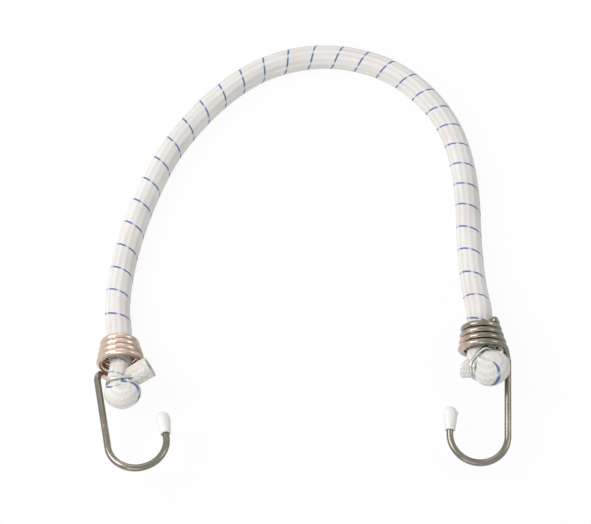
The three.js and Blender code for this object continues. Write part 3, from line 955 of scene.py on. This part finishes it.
    def build_sleeve(self, finish: Material) -> Piece:
        """The sleeve's outer skin, turned in at the cut as its wall, then the bore back inside.

        The braid's ribs are added to the outer skin, and the yarn puckers near the clip, where the
        section grows and shrinks by 0.03 sin(6 turns + length / 2) + 0.015 sin(11 turns - 0.9 length).

        Returns:
            The sleeve's object.
        """
        sweep, shape = self.sweep(self.spacing)
        x, y = self.section(shape, SLEEVE_SIDES)
        turn, _, _ = round_section(SLEEVE_SIDES)
        clip = self.directions()[0]
        near = np.exp(-((np.linalg.norm(sweep.place - clip, axis=1) / self.pucker_reach) ** 4))[:, None]
        length = sweep.along[:, None]
        pucker = 0.03 * np.sin(2 * np.pi * 6 * turn + 0.5 * length)
        pucker = 1 + near * (pucker + 0.015 * np.sin(2 * np.pi * 11 * turn - 0.9 * length))
        pucker = pucker + braid_ribs(turn) / CORD_RADIUS
        outer = self.oblique(sweep, x * pucker, y * pucker)
        wall = 1 - SLEEVE_WALL / CORD_RADIUS
        rim = 1 - 0.3 * (1 - wall)
        keep = sweep.along > sweep.along[-1] - self.wall_depth
        inner = self.oblique(sweep, x * wall, y * wall)[keep][::-1]
        lip = self.oblique(sweep, x * rim, y * rim)[-1:]
        lip = lip + (sweep.place[-1] - sweep.place[-2]) * 0.35
        middle = inner[-1].mean(axis=0)
        deep = middle + (inner[-1:] - middle) * 0.2
        rings = np.concatenate([outer, lip, inner, deep])
        v = tracer_turns(sweep.along, self.stripes)
        along = np.concatenate([v, v[-1:], v[keep][::-1], v[keep][:1]])
        soiled = 0.12 + self.soil * np.exp(-(((sweep.along[-1] - sweep.along) / CUT_FADE) ** 2))
        marks = np.concatenate([soiled, soiled[-1:], soiled[keep][::-1], soiled[keep][:1]])
        marks = np.repeat(marks[:, None], SLEEVE_SIDES, axis=1)
        parts = MeshParts().add_tube(self.stand.place(rings), along, marks)
        return parts.build(f"{self.side.value}_folded_sleeve", finish)

    def build_rubber(self, finish: Material) -> Piece:
        """Rubber threads that fill the sleeve, each squeezed as the sleeve is.

        Under the dome a thread's height shrinks by the dome's height over the oval's, namely
        sqrt((2 - q) / (4 (1 - q))) at the share q of the width, and by no more than 1.

        Returns:
            The threads' object.
        """
        sweep, shape = self.sweep(0.8)
        _, cos, sin = round_section(8)
        parts = MeshParts()
        wall = 1 - (SLEEVE_WALL + 0.12) / CORD_RADIUS
        rng = np.random.default_rng(11 + self.side.leg)
        for centre, radius in thread_places():
            x, y = centre[0] + radius * cos, centre[1] + radius * sin
            width = np.clip((1 - self.side.leg * x) / 2, 0, 0.97)
            under_dome = np.minimum(1, np.sqrt((2 - width) / (4 * (1 - width))))
            y = y * (1 + shape[:, 2:3] * (under_dome - 1))
            rings = self.oblique(sweep, shape[:, 0:1] * wall * x, shape[:, 1:2] * wall * y)
            back = rng.uniform(0.1, 0.9)
            rings[-1] -= (sweep.place[-1] - sweep.place[-2]) * back
            parts.add_tube(self.stand.place(rings), sweep.along)
        return parts.build(f"{self.side.value}_folded_rubber", finish)

    def build_fray(self, finish: Material) -> Piece:
        """Short ends of yarn round the cut, each a tapered thread that curls outwards.

        Thread k starts on the sleeve's wall and follows base + length * s * (ahead + curl * s *
        outwards), where s runs from 0 to 1, and its radius falls as 1 - 0.75 s.

        Returns:
            The fray's object.
        """
        sweep, shape = self.sweep(self.spacing)
        rng = np.random.default_rng(29 + self.side.leg)
        ahead = self.tail_ahead(sweep)
        normal = unit(np.array(self.cut_normal))
        parts = MeshParts()
        _, cos, sin = round_section(5)
        s = np.linspace(0, 1, 6)
        for k in range(self.fray_count):
            turn = 2 * math.pi * (k + rng.uniform(-0.4, 0.4)) / self.fray_count
            out = math.cos(turn) * sweep.u[-1] * shape[-1, 0]
            out = out + math.sin(turn) * sweep.v[-1] * shape[-1, 1]
            depth = rng.uniform(0.88, 0.985)
            slide = -(out * depth) @ normal / float(normal @ ahead)
            base = sweep.place[-1] + out * depth + ahead * (slide - 0.3)
            side = unit(np.cross(ahead, out))
            curl = rng.uniform(-0.35, 0.75)
            lean = rng.uniform(-0.6, 0.6)
            reach = 0.3 + self.fray * rng.uniform(0.5, 1.5)
            bent = ahead + curl * s[:, None] * unit(out) + lean * s[:, None] * side
            line = base + reach * s[:, None] * bent
            thread = Sweep.beside(line, side, s)
            radius = (self.fray_radius * (1 - 0.75 * s))[:, None]
            parts.add_tube(self.stand.place(thread.rings(radius * cos, radius * sin)),
                           s * 0.05 + 0.5 / RIBS)
        return parts.build(f"{self.side.value}_cut_fray", finish)

    def build_clip(self, finish: Material) -> Piece:
        """The clip's wire: a racetrack round both limbs, its ends lapped side by side.

        At angle w the wire's line is side(w) + half width * cos w across and half height * sin w
        along the normal, where side goes from one limb's middle to the other's as w passes the
        top or bottom, and it climbs one pitch ahead per turn. The lap lies about the angle 0.

        Returns:
            The clip's object.
        """
        clip, ahead, across, normal = self.directions()
        half_height = 4.12 + self.clip_wire
        half_width = self.clip_half + 0.12 + self.clip_wire + self.clip_grow / 2
        pitch = 2 * self.clip_wire + 0.12
        half_lap = self.clip_lap / 2
        angle = np.radians(np.linspace(-half_lap, 360 + half_lap, 240))
        cos, sin = np.cos(angle), np.sin(angle)
        side = (self.clip_half + self.limb_room + self.clip_grow / 2) * np.tanh(cos * 3.2) - self.clip_grow
        climb = pitch * (angle - math.pi) / (2 * math.pi)
        bow = self.clip_bow * sin**2
        line = (
            clip
            + (side + half_width * cos)[:, None] * across
            + (half_height * sin)[:, None] * normal
            + (climb + bow)[:, None] * ahead
        )
        line, along = evenly(line, 0.3)
        sweep = Sweep.beside(line, ahead, along)
        _, c, s = round_section(16)
        ends = np.minimum(along, along[-1] - along)
        radius = (self.clip_wire * (0.72 + 0.28 * np.sqrt(np.clip(ends / 0.4, 0, 1))))[:, None]
        parts = MeshParts().add_tube(self.stand.place(sweep.rings(radius * c, radius * s)), along)
        return parts.build(f"{self.side.value}_crimp_clip", finish)

    def build(self, finishes: Finishes) -> None:
        """Builds the end's pieces and lets them ride on the end's body."""
        prefix = self.side.value
        strands = [f"{prefix}_end_strand_{k}" for k in range(1, 8)]
        for piece, nodes, slot in (
            (self.build_sleeve(finishes.braid), [f"{prefix}_end_sleeve"], "braided_sleeve"),
            (self.build_rubber(finishes.rubber), strands, "rubber_core"),
            (self.build_fray(finishes.braid), [], "braided_sleeve"),
            (self.build_clip(finishes.clip), [f"{prefix}_clip"], "clip_steel"),
        ):
            if nodes:
                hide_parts(*nodes)
            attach(piece, f"{prefix}_end")


def thread_places() -> list[tuple[Array, float]]:
    """Centres and radii of the rubber threads in a unit circle: one, six and twelve."""
    radius = 0.19
    places = [(np.zeros(2), radius)]
    for count, ring in ((6, 0.4), (12, 0.79)):
        for k in range(count):
            turn = 2 * math.pi * (k + 0.5) / count
            places.append((ring * np.array([math.cos(turn), math.sin(turn)]), radius))
    return places


# The free cord


@dataclass
class FreeCord:
    """The cord between the coils, laid on the table in a loose arch.

    The route is x, y and the share of the climb from the table to the coil's axis. The stripes are
    lengths along the cord at which the photo's blue stripes cross its top, with their numbers. The
    places stretch_from and stretch_to are in metres.
    """

    left: EndFrame
    right: EndFrame
    seam: float = 15.01
    lead: float = 3.0
    spacing: float = 0.9
    core_spacing: float = 3.0
    squeeze: float = 0.93
    squeeze_to: float = 6.0
    squeeze_fade: float = 3.0
    swell_from: float = 6.4
    swell_rise: float = 3.5
    swell_left: float = -0.03
    swell_right: float = 0.0
    fade: float = 42.0
    stretch_from: tuple[float, float, float] = (-0.045, 0.151, 0.005)
    stretch_to: tuple[float, float, float] = (0.050, 0.151, 0.005)
    stripes: Stripes = (
        (17, 0), (38, 2), (81, 6), (113, 9), (158, 13), (192, 16), (225, 19), (265, 23), (295, 26),
        (317, 28), (341, 30), (350, 31),
    )
    route: list[tuple[float, float, float]] = field(default_factory=lambda: [
        (-73.2, 37, 0.75), (-73.2, 46.5, 0.42), (-72.4, 56, 0.14), (-70.9, 66, 0.02),
        (-68.4, 77.5, 0), (-64.9, 89.5, 0), (-61.5, 99.2, 0), (-57.4, 109, 0), (-51.7, 119.3, 0),
        (-43.7, 130.9, 0), (-35.4, 140.6, 0), (-26.8, 148.6, 0), (-18.2, 154.6, 0),
        (-9.5, 158.6, 0), (-0.8, 161.1, 0), (7.9, 162.2, 0), (16.6, 161.8, 0), (25.3, 160, 0),
        (33.9, 156.8, 0), (42.5, 151.5, 0), (51, 143.4, 0), (57.5, 134.6, 0), (62.2, 125.3, 0),
        (65.2, 115.7, 0), (67, 106, 0), (67.9, 96.1, 0), (68.2, 86, 0), (68, 78, 0.01),
        (67.9, 69.5, 0.06), (67.9, 60.5, 0.22), (68.1, 50.6, 0.5), (68.4, 45.5, 0.68),
        (68.9, 40, 0.88),
    ])

    def centreline(self, spacing: float) -> tuple[Array, Array]:
        """The cord's line from inside the left coil to inside the right one, in millimetres."""
        middle = (len(self.route) + 2) / 2
        inside = (COIL_LENGTH / 2, COIL_LENGTH - 0.5)
        points = [self.left.on_axis(y) for y in (*inside, self.seam, self.seam + self.lead)]
        for i, (x, y, share) in enumerate(self.route):
            top = (self.left if i < middle else self.right).on_axis(self.seam)[2]
            points.append(np.array([x, y, LYING_HEIGHT + share * (top - LYING_HEIGHT)]))
        points += [self.right.on_axis(y) for y in (self.seam + self.lead, self.seam, *inside[::-1])]
        guide = np.array(points)
        dense = spline_through(guide, np.linspace(0, len(guide) - 1, 2400))
        return evenly(dense, spacing)

    def widths(self, along: Array) -> Array:
        """Share of the free radius at each length: pinched in the coils, a little swollen outside."""
        from_end = np.minimum(along, along[-1] - along)
        freed = smooth_step((from_end - self.squeeze_to) / self.squeeze_fade)
        pinch = self.squeeze + (1 - self.squeeze) * freed
        swell = smooth_step((from_end - self.swell_from) / self.swell_rise)
        swell = swell * np.exp(-((from_end / self.fade) ** 2))
        return pinch + swell * np.where(along > along[-1] / 2, self.swell_right, self.swell_left)

    def build_sleeve(self, finish: Material) -> tuple[Piece, Array]:
        """Carries a circle along the route; where it lies on the table its underside is flat.

        Returns:
            The sleeve's object and its centreline in metres.
        """
        line, along = self.centreline(self.spacing)
        sweep = Sweep.beside(line, UP, along)
        turn, cos, sin = round_section(SLEEVE_SIDES)
        radius = CORD_RADIUS * self.widths(along)[:, None] + braid_ribs(turn)
        uneven = 1 + 0.004 * np.sin(2 * np.pi * 2 * turn + along[:, None] * 0.11)
        rings = sweep.rings(radius * uneven * cos, radius * uneven * sin)
        rings[..., 2] = np.maximum(rings[..., 2], 0.02)
        parts = MeshParts().add_tube(rings, tracer_turns(along, self.stripes))
        return parts.build("free_cord_sleeve", finish), line * MM

    def build_core(self, finish: Material) -> Piece:
        """Rubber threads along the same route, inside the sleeve."""
        line, along = self.centreline(self.core_spacing)
        sweep = Sweep.beside(line, UP, along)
        _, cos, sin = round_section(8)
        radius = (CORD_RADIUS * self.widths(along) - SLEEVE_WALL - 0.15)[:, None] * 0.97
        parts = MeshParts()
        for centre, share in thread_places():
            x, y = centre[0] + share * cos, centre[1] + share * sin
            rings = sweep.rings(radius * x, radius * y)
            rings[..., 2] = np.maximum(rings[..., 2], 0.5)
            parts.add_tube(rings, along)
        return parts.build("free_cord_rubber", finish)

    def build(self, finishes: Finishes) -> None:
        sleeve, line = self.build_sleeve(finishes.braid)
        core = self.build_core(finishes.rubber)
        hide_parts("cord_sleeve")
        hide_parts(*[f"core_strand_{k}" for k in range(1, 8)])
        for piece in (sleeve, core):
            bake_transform(piece)
        exit_point = self.left.on_axis(COIL_LENGTH + WIRE_RADIUS) * MM


# The studio


@dataclass
class Studio:
    """White ground and surroundings, the camera, two large lamps and two weaker ones, in metres.

    A lamp is its name, its place, the side of its square and its power in watts.
    """

    aim: tuple[float, float, float] = (-0.0028, 0.063, 0.0)
    distance: float = 0.65
    pitch: float = 61.0
    focal_pixels: float = 1596.0
    image_width: int = 591
    world_light: float = 0.40
    ground_half: float = 3.0
    ground_drop: float = 0.00005
    lamps: tuple[tuple[str, tuple[float, float, float], float, float], ...] = (
        ("lamp_left", (-0.68, 0.10, 0.74), 0.60, 6.4), ("lamp_right", (0.85, 0.10, 0.72), 0.40, 1.7),
        ("lamp_back", (-0.1, 0.9, 0.6), 0.5, 1.0), ("lamp_front", (-0.25, -0.85, 0.55), 0.6, 1.7),
    )

    def build_camera(self) -> None:
        """The photograph's view: along +Y and down by the pitch, aimed at the image's centre."""
        data = bpy.data.cameras.new("camera")
        data.sensor_width = 36.0
        data.lens = self.focal_pixels / self.image_width * data.sensor_width
        data.clip_start, data.clip_end = 0.01, 20.0
        camera = new_object("camera", data)
        pitch = math.radians(self.pitch)
        camera.location = (
            self.aim[0],
            self.aim[1] - self.distance * math.cos(pitch),
            self.aim[2] + self.distance * math.sin(pitch),
        )
        camera.rotation_euler = (math.pi / 2 - pitch, 0, 0)
        bpy.context.scene.camera = camera

    def build_ground(self) -> None:
        """A wide sheet just under the object."""
        mesh = bpy.data.meshes.new("ground")
        far = self.ground_half
        corners = [(-far, -far, 0), (far, -far, 0), (far, far, 0), (-far, far, 0)]
        mesh.from_pydata(corners, [], [(0, 1, 2, 3)])
        mesh.transform(Matrix.Translation((0, 0, -self.ground_drop)))
        mesh.materials.append(PaperFinish().material("white ground"))
        ground = new_object("ground", mesh)

    def build_world(self) -> None:
        """Even pale light, which the camera and reflections see as white."""
        world = bpy.data.worlds.new("studio")
        bpy.context.scene.world = world
        s = Sheet(world, "Background")
        strength = s.between(s.seen_white(), 0.0, 1.0, (self.world_light, 1.0))
        s.set(Color=(1, 1, 1, 1), Strength=strength)

    def add_lamp(self, name: str, place: tuple[float, float, float], size: float, power: float) -> None:
        """A square lamp that faces the object.

        Args:
            name: The lamp's name.
            place: Where it hangs, in metres.
            size: Its side in metres.
            power: Its power in watts.
        """
        data = bpy.data.lights.new(name, "AREA")
        data.shape = "SQUARE"
        data.size = size
        data.energy = power
        lamp = new_object(name, data)
        lamp.location = place
        back = np.array(place) - np.array([0, 0.06, 0])
        lamp.rotation_mode = "QUATERNION"
        lamp.rotation_quaternion = Vector(back).to_track_quat("Z", "Y")

    def build(self) -> None:
        """Builds the studio."""
        self.build_ground()
        self.build_world()
        for lamp in self.lamps:
            self.add_lamp(*lamp)


def main() -> None:
    """Builds the camera and the cord first, then the ends, the hooks and the studio."""
    logging.basicConfig(level=logging.INFO, format="%(message)s")
    bpy.context.scene.view_settings.view_transform = "Standard"
    studio = Studio()
    studio.build_camera()
    finishes = Finishes()
    left = EndFrame.from_joint("left_hook_swivel")
    right = EndFrame.from_joint("right_hook_swivel")
    FreeCord(left, right).build(finishes)
    FoldedEnd(
        Side.LEFT, left, fold_yaw=0, fold_rise=3, clip_reach=8.2, fold_shift=0.3, clip_to_fold=3.6,
        tail_out=8.6, tail_up=5.4, pinch_reach=2.9, cut_reach=3.3, pinch_share=0.84, pinch_height=0.78,
        cut_normal=(0.90, 0.32, 0.30), fray=0.25, neck=0.84, limb_above=3.9, tail_half=3.7, cut_half=3.9,
        stripes=((6, 0), (12.2, 1), (18.3, 2), (31, 3), (56, 4)),
    ).build(finishes)
    FoldedEnd(
        Side.RIGHT, right, fold_yaw=50, fold_rise=22, clip_reach=7.5, fold_shift=1.2, clip_to_fold=3.3,
        tail_out=2.3, tail_up=-1.4, pinch_reach=3.4, cut_reach=3.6, pinch_share=0.72, pinch_height=0.8,
        cut_normal=(-0.78, 0.46, -0.43), clip_lap=180, neck=1.04, limb_above=4.4, ball_height=5.5,
        cut_half=3.4, fold_radius=3.8, limb_half=3.75,
        stripes=((4.5, 0), (18.4, 0.5), (24.2, 1), (29.5, 1.5), (46, 2)),
        fray=0.15, soil=0.1, ball_shift=0.8, pinch_at=-1.4, clip_grow=0.8, clip_bow=-2.0,
    ).build(finishes)
    # The blush is painted light on the coils' left sides.
    WireHook(Side.LEFT, left, painted_light_blush_far=0.8).build(finishes)
    WireHook(Side.RIGHT, right, painted_light_blush=0.5).build(finishes)
    studio.build()


if __name__ == "__main__":
    main()
